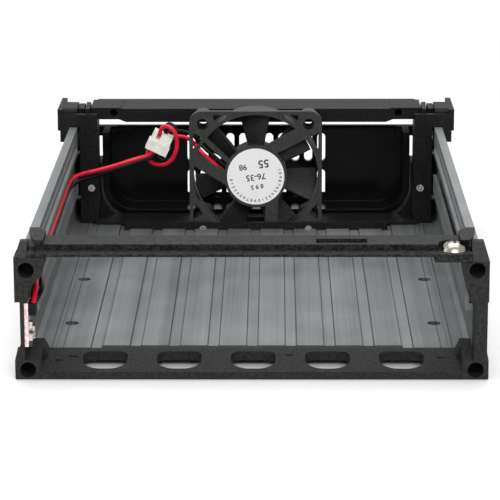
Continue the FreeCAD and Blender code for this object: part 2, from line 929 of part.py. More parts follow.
def ear_blocks():
    """Bridge over each wall that carries the fin, the block before the knuckle and the outer cheek."""
    low = wall_top + ear_above_wall
    bridge_top = wall_top + bridge_thickness
    top = wall_top + ear_top_rise
    skirt_low = wall_top - ear_skirt_drop
    behind_front = at(front_frame_y + ear_wall_thickness)
    ear_end = at(front_frame_end - ear_setback)
    bridge = box(opening_half_width, surround_half_width, behind_front, ear_end, low, bridge_top)
    front_wall = box(opening_half_width, ear_half_width, at(front_frame_y), behind_front,
                     low, wall_top + ear_wall_rise)
    skirt = box(surround_half_width - ear_skirt_lap, ear_half_width - ear_skirt_inset, at(front_frame_y),
                ear_end, skirt_low, bridge_top)
    cheek_end = hinge_y_from_face + knuckle_radius
    cheek = box(ear_half_width - outer_cheek, ear_half_width, at(front_frame_y), at(cheek_end),
                skirt_low + cheek_above_skirt, top)
    fin_x = bar_half_width + ear_block_gap / 2
    fin = box(fin_x, fin_x + ear_fin_width, behind_front, at(ear_fin_end), low, top)
    block_end = hinge_y_from_face - knuckle_radius - ear_block_gap
    block = box(outer_knuckle_x()[0] - ear_block_gap, ear_half_width, behind_front, at(block_end), low, top)
    block = block.makeFillet(ear_block_round, [edge for edge in block.Edges if upper_crosswise(edge, top)])
    side = box(channel_half + clearance, surround_half_width, behind_front,
               at(front_frame_end), 0, skirt_low + 1)
    return both_sides(joined([bridge, front_wall, skirt, cheek, fin, block, side]))


def upper_crosswise(edge, top):
    """Whether an edge lies along X at this height."""
    first, last = edge.Vertexes[0], edge.Vertexes[-1]
    return first.Z > top - 1 and last.Z > top - 1 and abs(first.X - last.X) > 1


def hinge_lug_x():
    inner = door_inner_cheek_x() + inner_cheek_width + hinge_side_gap
    return inner, inner + hinge_lug_width


def door_inner_cheek_x():
    return bar_half_width + inner_cheek_gap + ear_block_gap / 2


def outer_knuckle_x():
    inner = hinge_lug_x()[1] + hinge_side_gap
    return inner, inner + outer_knuckle_width


def hinge_lugs():
    """Eye between the door's two knuckles, on a short arm from the bridge."""
    x0, x1 = hinge_lug_x()
    y = at(hinge_y_from_face)
    radius = knuckle_radius - ear_block_gap
    root = wall_top + ear_above_wall
    arm = box(x0, x1, y - hinge_lug_length, y, root, hinge_z + radius)
    eye = rod(radius, x1 - x0, (x0, y, hinge_z), (1, 0, 0))
    return both_sides(arm.fuse(eye))


def top_bar():
    """Bar across the top: bevelled ends, raised end pads and a relief under each bored hole."""
    half = bar_half_width
    y0 = at(fan_back + bar_behind_fan)
    y1 = at(hinge_y_from_face + bar_past_hinge)
    bevel_x = half - bar_bevel / 2
    outline = [
        (-half, y0),
        (half, y0),
        (half, y1 - bar_bevel),
        (bevel_x, y1),
        (-bevel_x, y1),
        (-half, y1 - bar_bevel),
    ]
    bar = prism_xy(outline, bar_underside, bar_top)
    pad = box(half - bar_end_length, half, y0, y1 - bar_bevel, bar_top - 1, bar_top + bar_end_rise)
    post_top = box(opening_half_width, half, y0, at(front_frame_end), wall_top, bar_top)
    bar = joined([bar] + both_sides(pad) + both_sides(post_top))
    low = bar_underside - 1
    high = bar_underside + bar_notch_height
    slope_end = opening_half_width - bar_notch_length
    relief = [
        (slope_end - bar_notch_slope, low),
        (slope_end - bar_notch_slope, bar_underside),
        (slope_end, high),
        (opening_half_width, high),
        (opening_half_width, low),
    ]
    cuts = both_sides(prism_xz(relief, y0 - 1, y1 + 1))
    hole_start = (half - bar_hole_inset, y0 - 1, bar_top - bar_hole_below_top)
    hole = rod(bar_hole_radius, bar_hole_depth, hole_start, (0, 1, 0))
    return without(bar, cuts + both_sides(hole))


def front_sill():
    """Cross member behind and beside the fan, a foot before the fan and a flange over the floor's end."""
    low_half = notch_half_width - 2 * clearance
    flange_low = floor_top + clearance
    behind = box(-low_half, low_half, at(fan_back + clearance), at(front_frame_end), 0, sill_top)
    beside = box(-low_half, low_half, at(foot_front), at(front_frame_end), 0, sill_top)
    flange = box(-opening_half_width - 1, opening_half_width + 1, at(front_frame_y - sill_flange_reach),
                 at(front_frame_end), flange_low, flange_low + sill_flange)
    fan_room = box(-fan_size / 2 - 2 * clearance, fan_size / 2 + 2 * clearance, at(fan_front - clearance),
                   at(fan_back + clearance), -1, fan_z + fan_size)
    foot = box(-low_half, low_half, at(foot_front), at(foot_front + fan_foot_thickness), 0, fan_foot_height)
    bosses = []
    for x in fan_hole_x():
        bosses.append(rod(fan_seat_radius, front_frame_end - fan_back - clearance,
                          (x, at(fan_back + clearance), fan_hole_z()[0] + fan_seat_rise), (0, 1, 0)))
    around = joined([beside.cut(fan_room), flange.cut(fan_room), behind, foot] + bosses)
    trim = box(-low_half, low_half, at(floor_end), at(front_frame_end + 1), -10, 0)
    return around.cut(trim)


def fan_hole_x():
    return (-fan_hole_offset, fan_hole_offset)


def fan_hole_z():
    return (fan_z - fan_hole_offset, fan_z + fan_hole_offset)


def fan_screw_seats():
    cuts = []
    for x in fan_hole_x():
        z = fan_hole_z()[0]
        cuts.append(rod(small_screw_radius, front_frame_end - floor_end, (x, at(floor_end), z), (0, 1, 0)))
        start = FreeCAD.Vector(x, at(front_frame_end) - small_head_height, z)
        cuts.append(Part.makeCone(small_screw_radius, small_head_radius, small_head_height, start,
                                  FreeCAD.Vector(0, 1, 0)))
    return cuts


def post_screw_holes(y0, y1):
    cut = rod(small_screw_radius, y1 - y0, (post_screw_x, y0, post_screw_z), (0, 1, 0))
    return both_sides(cut)


def make_front_frame():
    pieces = front_posts() + ear_blocks() + hinge_lugs() + [top_bar(), front_sill()]
    frame = joined(pieces)
    cuts = fan_screw_seats() + post_screw_holes(at(front_frame_y - 1), at(front_frame_end + 1))
    cuts += side_screw_holes(far_screw_y(), small_screw_radius)
    for sink in countersinks(far_screw_y(), surround_half_width):
        cuts += both_sides(sink)
    pin_hole = rod(hinge_pin_radius, 20, (door_inner_cheek_x(), at(hinge_y_from_face), hinge_z), (1, 0, 0))
    cuts += both_sides(pin_hole)
    return without(frame, cuts)


def make_far_screws():
    """Countersunk screws that hold the front frame to the walls, two a side."""
    screws = []
    tip_x = wall_inner - far_screw_tip
    for side in (-1, 1):
        for z in side_screw_z:
            screws.append(countersunk_screw((side * tip_x, far_screw_y(), z), (side, 0, 0),
                                            surround_half_width - tip_x, small_screw_radius,
                                            small_head_radius, small_head_height))
    return screws


def make_hinge_pins():
    x0 = door_inner_cheek_x()
    length = ear_half_width - x0
    return both_sides(rod(hinge_pin_radius, length, (x0, at(hinge_y_from_face), hinge_z), (1, 0, 0)))


# Surround: U-shaped bezel behind the front frame, open above, screwed to the posts
def rounded_outline(half, low, high, radius, y0, y1):
    """Upright plate with round lower corners, extruded along Y."""
    upper = box(-half, half, y0, y1, low + radius, high)
    lower = box(radius - half, half - radius, y0, y1, low, high)
    corner = rod(radius, y1 - y0, (half - radius, y0, low + radius), (0, 1, 0))
    return joined([upper, lower] + both_sides(corner))


def make_surround():
    y0 = at(surround_start)
    y1 = y0 + surround_depth
    outer = rounded_outline(surround_half_width, 0, surround_top, surround_corner_radius, y0, y1)
    room = rounded_outline(door_half_width + surround_gap, surround_sill, surround_top + 5,
                           door_corner_radius + surround_gap, y0 - 1, y1 + 1)
    step_half = door_half_width + surround_step_gap
    step = box(-step_half, step_half, y0 - 1, y1 + 1, surround_step_z, surround_top + 5)
    body = outer.cut(room).cut(step)
    seat = at(surround_start + surround_seat)
    start = (post_screw_x, seat, post_screw_z)
    head_room = rod(small_head_radius + clearance, y1 - seat + 1, start, (0, 1, 0))
    return without(body, post_screw_holes(y0 - 1, y1 + 1) + both_sides(head_room))


def make_post_screws():
    """Screws from the front through the surround and the posts; their tips show inside."""
    y0 = at(front_frame_y - post_screw_tip)
    seat = at(surround_start + surround_seat)
    shank = rod(small_screw_radius, seat - y0, (post_screw_x, y0, post_screw_z), (0, 1, 0))
    head = rod(small_head_radius, small_head_height, (post_screw_x, seat, post_screw_z), (0, 1, 0))
    return both_sides(shank.fuse(head).removeSplitter())


# Front door: a dish with a vented panel, shoulders and knuckles
def door_vents():
    cuts = []
    middle = (door_vent_columns - 1) / 2
    radius = door_vent_width / 2
    y0 = at(door_end - door_panel - 1)
    depth = door_panel + 2
    for column in range(door_vent_columns):
        x = (column - middle) * door_vent_pitch
        for row in (0, 1):
            low = door_vent_bottom + row * (door_vent_length + door_vent_row_gap)
            high = low + door_vent_length
            ends = [rod(radius, depth, (x, y0, z), (0, 1, 0)) for z in (low + radius, high - radius)]
            middle_part = box(x - radius, x + radius, y0, y0 + depth, low + radius, high - radius)
            cuts.append(joined([middle_part] + ends))
    return cuts


def door_arm_profile():
    y = at(hinge_y_from_face)
    rear = at(door_end)
    front = at(door_end - door_panel - door_shoulder_lap)
    shoulder_bottom = door_top - door_shoulder_height
    return [
        (y, hinge_z + knuckle_radius),
        (rear, hinge_z + door_arm_rear_rise),
        (rear, shoulder_bottom),
        (front, shoulder_bottom),
        (front, hinge_z - door_arm_front_drop),
        (y, hinge_z - knuckle_radius),
    ]


def door_knuckles():
    y = at(hinge_y_from_face)
    ranges = [(door_inner_cheek_x(), door_inner_cheek_x() + inner_cheek_width), outer_knuckle_x()]
    knuckles = []
    for x0, x1 in ranges:
        arm = prism_yz(door_arm_profile(), x0, x1)
        eye = rod(knuckle_radius, x1 - x0, (x0, y, hinge_z), (1, 0, 0))
        knuckles.append(arm.fuse(eye))
    shoulder = box(door_half_width - door_shoulder_reach, outer_knuckle_x()[1],
                   at(door_end - door_panel - door_shoulder_lap), at(door_end),
                   door_top - door_shoulder_height, door_top)
    return knuckles + [shoulder]


def make_front_door():
    y0 = at(door_start)
    y1 = at(door_end)
    outer = rounded_outline(door_half_width, door_bottom, door_top, door_corner_radius, y0, y1)
    inner = rounded_outline(door_half_width - door_wall, door_bottom + door_wall, door_top + 5,
                            door_corner_radius - door_wall, y0 - 1, y1 - door_panel)
    dish = outer.cut(inner)
    grip_half = door_half_width - door_corner_radius - door_grip_end_gap
    grip_top = door_bottom + door_grip_height
    grip_profile = [
        (y1, door_bottom),
        (y1 + door_grip_reach, door_bottom + door_grip_low_bevel),
        (y1 + door_grip_reach, grip_top - door_grip_high_bevel),
        (y1, grip_top),
    ]
    grip = prism_yz(grip_profile, -grip_half, grip_half)
    side_parts = []
    for part in door_knuckles():
        side_parts += both_sides(part)
    door = joined([dish, grip] + side_parts)
    bore = rod(hinge_pin_radius + hinge_running_gap, 20, (bar_half_width, at(hinge_y_from_face), hinge_z),
               (1, 0, 0))
    return without(door, door_vents() + both_sides(bore))


# Fan: housing with three struts, stator on its boss, rotor with seven blades
def fan_point(radius, angle_deg, y):
    angle = math.radians(angle_deg)
    return (radius * math.cos(angle), at(y), fan_z + radius * math.sin(angle))


def fan_strut(angle_deg, width, sweep_deg):
    """Strut from the hub to the duct wall, leaning by the sweep and wider at its outer end."""
    inner = fan_base_radius - fan_strut_root
    outer = fan_bore_radius + fan_barrel_wall
    start = FreeCAD.Vector(*fan_point(inner, angle_deg, fan_front))
    end = FreeCAD.Vector(*fan_point(outer, angle_deg + sweep_deg, fan_front))
    along = end - start
    across = FreeCAD.Vector(0, 1, 0).cross(along)
    across.normalize()
    across = across * (width / 2)
    wider = across * fan_strut_taper
    corners = [start - across, end - wider, end + wider, start + across]
    wire = Part.makePolygon(corners + corners[:1])
    return Part.Face(wire).extrude(FreeCAD.Vector(0, fan_base_thickness, 0))


def corner_pockets():
    """Three-sided hollows through the flange between the bore and each corner hole."""
    reach = fan_size / 2 - fan_rim
    far = fan_hole_offset - fan_pocket_from_hole
    near = far - fan_pocket_length
    apex = (reach - fan_pocket_reach, (near + far) / 2 + fan_pocket_skew)
    outline = [(reach, near), (reach, far), apex]
    pockets = []
    for side_x in (-1, 1):
        for side_z in (-1, 1):
            for swap in (False, True):
                points = [(z, x) if swap else (x, z) for x, z in outline]
                points = [(side_x * x, fan_z + side_z * z) for x, z in points]
                pockets.append(prism_xz(points, at(fan_front - 1), at(fan_front + fan_flange + 1)))
    return pockets


def fan_body():
    """Thin square flange with round corners, the duct behind it and a boss at each corner hole."""
    half = fan_size / 2
    flange = box(-half, half, at(fan_front), at(fan_front + fan_flange), fan_z - half, fan_z + half)
    along = [edge for edge in flange.Edges if abs(edge.Vertexes[0].Y - edge.Vertexes[1].Y) > 1]
    flange = flange.makeFillet(fan_corner_radius, along)
    flange = without(flange, corner_pockets())
    duct = rod(fan_bore_radius + fan_barrel_wall, fan_depth, (0, at(fan_front), fan_z), (0, 1, 0))
    bosses = [rod(fan_corner_boss, fan_depth, (x, at(fan_front), z), (0, 1, 0))
              for x in fan_hole_x() for z in fan_hole_z()]
    return joined([flange, duct] + bosses)


def fan_mount_holes():
    cuts = []
    for x in fan_hole_x():
        low, high = fan_hole_z()
        cuts.append(rod(small_screw_radius, fan_depth + 2, (x, at(fan_front - 1), low), (0, 1, 0)))
        cuts.append(rod(fan_hole_radius, fan_depth + 2, (x, at(fan_front - 1), high), (0, 1, 0)))
    return cuts


def make_fan_housing():
    bore = rod(fan_bore_radius, fan_depth + 2, (0, at(fan_front - 1), fan_z), (0, 1, 0))
    shell = without(fan_body(), [bore] + fan_mount_holes())
    base = rod(fan_base_radius, fan_base_thickness, (0, at(fan_front), fan_z), (0, 1, 0))
    boss = rod(boss_radius, boss_length(), (0, at(fan_front + fan_base_thickness), fan_z), (0, 1, 0))
    struts = [fan_strut(angle, fan_strut_width, fan_strut_sweep) for angle in fan_strut_angles]
    lead_wall = fan_strut(lead_wall_angle, lead_wall_width, lead_wall_sweep)
    well = rod(bearing_radius, boss_length() + 1, (0, at(fan_front + fan_base_thickness), fan_z), (0, 1, 0))
    housing = joined([shell, base, boss] + struts + [lead_wall]).cut(well)
    return without(housing, fan_lead_wires())


def boss_length():
    return fan_depth - fan_base_thickness - rotor_top - boss_to_rotor


def make_fan_bearing():
    start = (0, at(fan_front + fan_base_thickness + bearing_seat), fan_z)
    length = boss_length() - bearing_seat
    sleeve = rod(bearing_radius, length, start, (0, 1, 0))
    return sleeve.cut(rod(shaft_radius + bearing_clearance, length, start, (0, 1, 0)))


def make_fan_driver_board():
    start = (0, at(fan_front + fan_base_thickness), fan_z)
    disc = rod(rotor_radius - rotor_wall - 2 * clearance, driver_board_thickness, start, (0, 1, 0))
    return disc.cut(rod(boss_radius, driver_board_thickness, start, (0, 1, 0)))


def stator_start():
    return fan_front + fan_base_thickness + stator_lift


def stator_radius():
    return rotor_radius - rotor_wall - magnet_thickness - stator_air_gap


def make_fan_stator():
    """Laminated core: a ring on the boss and four poles with curved faces."""
    radius = stator_radius()
    start = (0, at(stator_start()), fan_z)
    length = stator_length
    ring = rod(boss_radius + stator_ring, length, start, (0, 1, 0))
    crown = rod(radius, length, start, (0, 1, 0)).cut(rod(radius - pole_face, length, start, (0, 1, 0)))
    gaps = []
    arms = []
    for quarter in range(4):
        arm = box(0, radius - pole_face / 2, at(stator_start()), at(stator_start()) + length,
                  fan_z - pole_width / 2, fan_z + pole_width / 2)
        gap = box(0, radius + 1, at(stator_start()) - 1, at(stator_start()) + length + 1,
                  fan_z - pole_gap / 2, fan_z + pole_gap / 2)
        axis = FreeCAD.Vector(0, 1, 0)
        centre = FreeCAD.Vector(0, 0, fan_z)
        arm.rotate(centre, axis, 90 * quarter)
        gap.rotate(centre, axis, 90 * quarter + 45)
        arms.append(arm)
        gaps.append(gap)
    core = joined([ring, without(crown, gaps)] + arms)
    return core.cut(rod(boss_radius, length, start, (0, 1, 0)))


def make_fan_coils():
    """One winding round each of the four poles."""
    coils = []
    inner = boss_radius + stator_ring + coil_gap
    face_inner = stator_radius() - pole_face
    half = pole_width / 2 + coil_build
    outer = math.sqrt(face_inner ** 2 - half ** 2) - coil_gap
    y0 = at(stator_start())
    y1 = y0 + stator_length
    for quarter in range(4):
        winding = box(inner, outer, y0 - coil_build, y1 + coil_build, fan_z - half, fan_z + half)
        pole = box(inner - 1, outer + 1, y0, y1, fan_z - pole_width / 2, fan_z + pole_width / 2)
        winding = winding.cut(pole)
        winding.rotate(FreeCAD.Vector(0, 0, fan_z), FreeCAD.Vector(0, 1, 0), 90 * quarter)
        coils.append(winding)
    return coils


def rotor_start():
    return fan_front + fan_base_thickness + rotor_lift


def rotor_end():
    return fan_back - rotor_end_gap


def blade_section(radius, chord, pitch_deg):
    """Cross-section of a blade, square to its span, at this radius."""
    middle = at((rotor_start() + rotor_end()) / 2)
    angle = math.radians(pitch_deg)
    half_chord = chord / 2
    half_thick = fan_blade_thickness / 2
    corners = []
    for along, through in ((-1, -1), (1, -1), (1, 1), (-1, 1)):
        a = along * half_chord
        t = through * half_thick
        y = middle + a * math.sin(angle) + t * math.cos(angle)
        z = a * math.cos(angle) - t * math.sin(angle)
        corners.append(FreeCAD.Vector(radius, y, fan_z + z))
    return Part.makePolygon(corners + corners[:1])


def fan_blade():
    radii = (rotor_radius - fan_blade_sink, (rotor_radius + fan_bore_radius) / 2, fan_bore_radius + 1)
    stations = zip(radii, fan_blade_chords, fan_blade_pitches)
    sections = [blade_section(radius, chord, pitch) for radius, chord, pitch in stations]
    blade = Part.makeLoft(sections, True, False)
    reach = fan_bore_radius - fan_tip_gap
    y0 = at(rotor_start())
    envelope = rod(reach, rotor_end() - rotor_start(), (0, y0, fan_z), (0, 1, 0))
    return blade.common(envelope)


def make_fan_impeller():
    y0 = at(rotor_start())
    length = rotor_end() - rotor_start()
    cup = rod(rotor_radius, length, (0, y0, fan_z), (0, 1, 0))
    hollow = rod(rotor_radius - rotor_wall, length - rotor_top, (0, y0, fan_z), (0, 1, 0))
    parts = [cup.cut(hollow)]
    blade = fan_blade()
    for index in range(fan_blade_count):
        copy = blade.copy()
        angle = index * 360 / fan_blade_count + first_blade_angle
        copy.rotate(FreeCAD.Vector(0, 0, fan_z), FreeCAD.Vector(0, 1, 0), angle)
        parts.append(copy)
    body = joined(parts)
    socket = rod(shaft_radius, rotor_top, (0, at(rotor_end() - rotor_top), fan_z), (0, 1, 0))
    return body.cut(hollow).cut(socket)


def make_fan_magnet():
    y0 = at(rotor_start() + magnet_setback)
    length = rotor_end() - rotor_start() - rotor_top - magnet_setback
    outer = rotor_radius - rotor_wall
    ring = rod(outer, length, (0, y0, fan_z), (0, 1, 0))
    return ring.cut(rod(outer - magnet_thickness, length, (0, y0, fan_z), (0, 1, 0)))


def make_fan_shaft():
    y0 = at(fan_front + fan_base_thickness + shaft_end_gap)
    return rod(shaft_radius, at(rotor_end()) - y0, (0, y0, fan_z), (0, 1, 0))


def make_fan_screws():
    """Two screws from behind the sill through the fan's lower holes; their tips show in front."""
    screws = []
    for x in fan_hole_x():
        tip = (x, at(fan_front - fan_screw_reach), fan_hole_z()[0])
        screws.append(countersunk_screw(tip, (0, 1, 0), front_frame_end - fan_front + fan_screw_reach,
                                        small_screw_radius, small_head_radius, small_head_height))
    return screws


# Two-pin coupling between the fan lead and the harness, hanging beside the fan
def in_coupling(shape):
    """Turn a shape from the coupling's own frame to its place beside the fan."""
    placed = shape.copy()
    placed.rotate(FreeCAD.Vector(0, 0, 0), FreeCAD.Vector(0, 1, 0), coupling_tilt)
    placed.translate(FreeCAD.Vector(coupling_x, at(coupling_y), coupling_z))
    return placed


def make_coupling():
    half_w = plug_width / 2
    half_h = plug_height / 2
    plug = box(-half_w, half_w, -half_h, half_h, 0, plug_length)
    notch_x = plug_notch_inset - half_w
    notch = box(notch_x, notch_x + plug_notch_width, -half_h - 1, plug_notch_past_middle,
                plug_length - plug_notch_depth, plug_length + 1)
    plug = plug.cut(notch)
    shell_w = half_w + socket_wall
    shell_h = half_h + socket_wall
    shell = box(-shell_w, shell_w, -shell_h, shell_h, -socket_length, -coupling_gap)
    pins = []
    for side in (-1, 1):
        x = side * contact_pitch / 2
        pins.append(rod(contact_radius, 2 * contact_reach, (x, 0, -contact_reach), (0, 0, 1)))
        in_plug = rod(contact_radius, contact_reach + contact_lead, (x, 0, -contact_lead), (0, 0, 1))
        in_shell = rod(contact_radius, contact_reach + contact_room, (x, 0, -contact_reach), (0, 0, 1))
        plug = plug.cut(in_plug)
        shell = shell.cut(in_shell)
    plug = without(in_coupling(plug), fan_lead_wires())
    shell = without(in_coupling(shell), harness_wires())
    return plug, shell, [in_coupling(pin) for pin in pins]


# Wires: straight runs joined by tangent arcs
def corner_radius(before, point, after):
    back = before - point
    ahead = after - point
    turn = math.pi - back.getAngle(ahead)
    shorter = min(back.Length, ahead.Length)
    return 0.45 * shorter / math.tan(turn / 2), turn


def wire_path(route):
    points = [FreeCAD.Vector(*p) for p in route]
    edges = []
    start = points[0]
    tightest = None
    for index in range(1, len(points) - 1):
        before, point, after = points[index - 1:index + 2]
        radius, turn = corner_radius(before, point, after)
        trim = radius * math.tan(turn / 2)
        to_before = (before - point).normalize()
        to_after = (after - point).normalize()
        first = point + to_before * trim
        last = point + to_after * trim
        bisector = (to_before + to_after).normalize()
        centre = point + bisector * (radius / math.cos(turn / 2))
        middle = centre - bisector * radius
        if (first - start).Length > nothing:
            edges.append(Part.LineSegment(start, first).toShape())
        edges.append(Part.Arc(first, middle, last).toShape())
        start = last
        tightest = radius if tightest is None else min(tightest, radius)
    edges.append(Part.LineSegment(start, points[-1]).toShape())
    return Part.Wire(edges), tightest


def make_wire(route):
    placed = [(x, at(distance), z) for x, distance, z in route]
    path, tightest = wire_path(placed)
    first = FreeCAD.Vector(*placed[0])
    ahead = FreeCAD.Vector(*placed[1]) - first
    circle = Part.Circle(first, ahead, wire_diameter / 2).toShape()
    tube = path.makePipeShell([Part.Wire(circle)], True, False)
    expected = path.Length * math.pi * wire_diameter ** 2 / 4
    print("wire length", round(path.Length, 1), "tightest radius", round(tightest, 2),
          "volume ratio", round(tube.Volume / expected, 4))
    return tube


# Routes: X, distance behind the connector face, Z
fan_lead_red_route = [
    (-8.2, 142.0, 20.1),
    (-12.9, 141.75, 24.3),
    (-17.3, 141.6, 28.3),
    (-19.6, 144.7, 31.0),
    (-23.8, 146.6, 31.6),
    (-28.8, 147.4, 30.2),
    (-33.0, 146.4, 27.4),
    (-32.6, 144.6, 24.2),
    (-30.0, 142.2, 23.3),
    (-26.2, 140.5, 24.0),
    (-23.6, 139.8, 28.2),
    (-23.6, 139.9, 33.4),
    (-26.2, 140.5, 36.0),
    (-28.7, 141.1, 35.2),
    (-28.95, 141.5, 32.4),
]
fan_lead_black_route = [
    (-7.2, 142.0, 21.2),
    (-11.8, 141.85, 25.5),
    (-16.3, 141.8, 29.5),
    (-18.9, 145.0, 32.4),
    (-23.4, 148.1, 32.9),
    (-28.8, 149.0, 31.4),
    (-31.3, 148.4, 27.8),
    (-30.2, 146.9, 24.7),
    (-27.6, 144.6, 23.9),
    (-24.9, 142.4, 25.0),
    (-24.0, 141.6, 28.4),
    (-24.0, 141.8, 32.4),
    (-24.6, 142.3, 35.9),
    (-27.4, 142.9, 35.9),
    (-27.1, 143.1, 32.4),
]
harness_red_route = [
    (-30.2, 141.8, 28.2),
    (-32.0, 141.7, 26.4),
    (-36.6, 141.4, 25.4),
    (-42.0, 139.3, 23.9),
    (-47.6, 135.8, 23.1),
    (-52.5, 130.4, 23.1),
    (-54.4, 123.0, 23.3),
    (-54.66, 109.0, 23.26),
    (-54.6, 84.6, 23.2),
    (-54.66, 56.6, 23.26),
    (-54.6, 31.0, 23.4),
    (-54.5, 17.0, 23.3),
    (-54.1, 9.0, 22.6),
    (-54.0, 5.0, 20.9),
    (-54.45, 3.0, 18.6),
]
harness_black_route = [
    (-28.8, 143.6, 27.8),
    (-30.8, 143.3, 25.4),
    (-36.4, 143.0, 24.0),
    (-41.4, 141.0, 22.5),
    (-46.6, 137.4, 21.6),
    (-51.0, 131.8, 21.2),
    (-53.0, 126.4, 21.9),
    (-54.5, 118.6, 21.88),
    (-54.66, 106.0, 21.9),
    (-54.6, 84.0, 21.92),
    (-54.66, 56.0, 21.9),
    (-54.6, 32.4, 21.98),
    (-54.3, 19.4, 21.96),
    (-52.8, 12.0, 21.9),
    (-52.6, 7.2, 20.8),
    (-54.1, 5.6, 18.6),
]


def fan_lead_wires():
    return [make_wire(fan_lead_red_route), make_wire(fan_lead_black_route)]


def harness_wires():
    return [make_wire(harness_red_route), make_wire(harness_black_route)]


def main():
    os.makedirs("parts", exist_ok=True)
    save("channel", [make_channel()])
    save("connector_frame", [make_connector_frame()])
    save("connector_frame_screws", make_near_screws())
    save("top_crossbar", [make_crossbar()])
    save("crossbar_screw", [make_cover_screw()])
    save("circuit_board", [make_circuit_board()])
    save("board_parts", make_board_parts())
    save("board_terminal", [without(make_board_terminal(), harness_wires())])
    fan_red, fan_black = fan_lead_wires()
    harness_red, harness_black = harness_wires()
    save("fan_lead_red", [fan_red])
    save("fan_lead_black", [fan_black])
    save("harness_red", [harness_red])
    save("harness_black", [harness_black])
    save("front_frame", [make_front_frame()])
    save("front_frame_screws", make_far_screws())
    save("surround", [make_surround()])
    save("post_screws", make_post_screws())
    save("hinge_pins", make_hinge_pins())
    save("front_door", [make_front_door()])
    save("fan_housing", [make_fan_housing()])
    save("fan_bearing", [make_fan_bearing()])
    save("fan_driver_board", [make_fan_driver_board()])
    save("fan_stator", [make_fan_stator()])
    save("fan_coils", make_fan_coils())
    save("fan_impeller", [make_fan_impeller()])
    save("fan_magnet", [make_fan_magnet()])
    save("fan_shaft", [make_fan_shaft()])
    save("fan_screws", make_fan_screws())
    plug, shell, pins = make_coupling()
    save("lead_plug", [plug])
    save("harness_socket", [shell])
    save("coupling_pins", pins)


main()
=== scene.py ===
import math

import bmesh
import bpy
from mathutils import Matrix, Vector


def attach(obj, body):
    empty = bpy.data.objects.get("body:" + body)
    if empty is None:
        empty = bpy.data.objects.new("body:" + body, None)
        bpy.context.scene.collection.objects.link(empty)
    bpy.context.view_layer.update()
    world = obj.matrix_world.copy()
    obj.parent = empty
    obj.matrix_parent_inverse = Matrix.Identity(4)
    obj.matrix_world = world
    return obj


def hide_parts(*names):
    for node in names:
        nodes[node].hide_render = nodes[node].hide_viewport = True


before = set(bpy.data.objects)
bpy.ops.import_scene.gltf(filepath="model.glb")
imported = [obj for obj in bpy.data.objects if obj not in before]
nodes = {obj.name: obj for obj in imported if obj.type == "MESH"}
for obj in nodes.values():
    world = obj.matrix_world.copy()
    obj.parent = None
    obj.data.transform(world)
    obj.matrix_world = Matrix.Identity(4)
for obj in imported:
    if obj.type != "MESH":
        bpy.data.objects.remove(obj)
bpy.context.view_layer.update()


# The camera
# It stands 0.6 m in front of the connector end and 186 mm up, and looks 14.3 degrees down. Its
# lens, place and angles come from a fit to the drive holes, the fan and the frames' corners.
camera_place = (0.005694, -0.685595, 0.186376)
camera_lens = 180.94
pitch = math.radians(14.3275)
yaw = math.radians(-0.5772)
roll = math.radians(-0.1406)

forward = Vector((
    math.sin(yaw) * math.cos(pitch), math.cos(yaw) * math.cos(pitch), -math.sin(pitch)))
level = Vector((math.cos(yaw), -math.sin(yaw), 0))
upward = level.cross(forward)
side = level * math.cos(roll) + upward * math.sin(roll)
top = upward * math.cos(roll) - level * math.sin(roll)
turned = Matrix((side, top, -forward)).transposed()

camera_data = bpy.data.cameras.new("camera")
camera_data.sensor_width = 36
camera_data.lens = camera_lens
camera_data.clip_start = 0.01
camera = bpy.data.objects.new("camera", camera_data)
camera.matrix_world = Matrix.Translation(camera_place) @ turned.to_4x4()
bpy.context.collection.objects.link(camera)
bpy.context.scene.camera = camera


# The aluminium channel
# One extrusion with a mill finish: fine lines drawn along it, strips and patches of slightly
# different tone, and a dark line of painted shade along each edge of the grooves in its floor.
drawn_out = (1, 0.006, 1)
lines_share = 0.45
patches_share = 0.28
darker_until = 0.37
paler_from = 0.63
darker_metal = (0.132, 0.144, 0.150, 1)
paler_metal = (0.245, 0.255, 0.257, 1)
groove_pitch = 0.0099
# The painted shade line along each groove edge in the floor: its half width, how high it reaches
# and its tint.
groove_edge_from_middle = 0.00145
painted_shade_half_width = 0.00016
painted_shade_below = 0.0046
painted_shade_tint = (0.42, 0.43, 0.44, 1)


def feed(tree, socket, source):
    """Link what another node puts out to this socket, or set the socket to a number or colour."""
    if isinstance(source, bpy.types.NodeSocket):
        tree.links.new(source, socket)
    else:
        socket.default_value = source


def mottle(tree, place, scale, detail, roughness=0.5):
    """Mottling over the surface, with about this many patches to the metre."""
    noise = tree.nodes.new("ShaderNodeTexNoise")
    feed(tree, noise.inputs["Vector"], place)
    feed(tree, noise.inputs["Scale"], scale)
    feed(tree, noise.inputs["Detail"], detail)
    feed(tree, noise.inputs["Roughness"], roughness)
    return noise.outputs["Fac"]


def work_out(tree, operation, first, second=0.0):
    """One step of arithmetic on one value or two."""
    step = tree.nodes.new("ShaderNodeMath")
    step.operation = operation
    feed(tree, step.inputs[0], first)
    feed(tree, step.inputs[1], second)
    return step.outputs["Value"]


def spread(tree, value, low, high, to_low=0.0, to_high=1.0, interpolation="LINEAR"):
    """A value that runs from low to high, spread over a new range."""
    span = tree.nodes.new("ShaderNodeMapRange")
    span.interpolation_type = interpolation
    feed(tree, span.inputs["Value"], value)
    feed(tree, span.inputs["From Min"], low)
    feed(tree, span.inputs["From Max"], high)
    feed(tree, span.inputs["To Min"], to_low)
    feed(tree, span.inputs["To Max"], to_high)
    return span.outputs["Result"]


def blend(tree, kind, share, first, second, way="MIX"):
    """Two numbers (FLOAT) or two colours (RGBA), blended by the share of the second."""
    mix = tree.nodes.new("ShaderNodeMix")
    mix.data_type = kind
    mix.blend_type = way
    first_place, second_place, result_place = {"FLOAT": (2, 3, 0), "RGBA": (6, 7, 2)}[kind]
    feed(tree, mix.inputs[0], share)
    feed(tree, mix.inputs[first_place], first)
    feed(tree, mix.inputs[second_place], second)
    return mix.outputs[result_place]


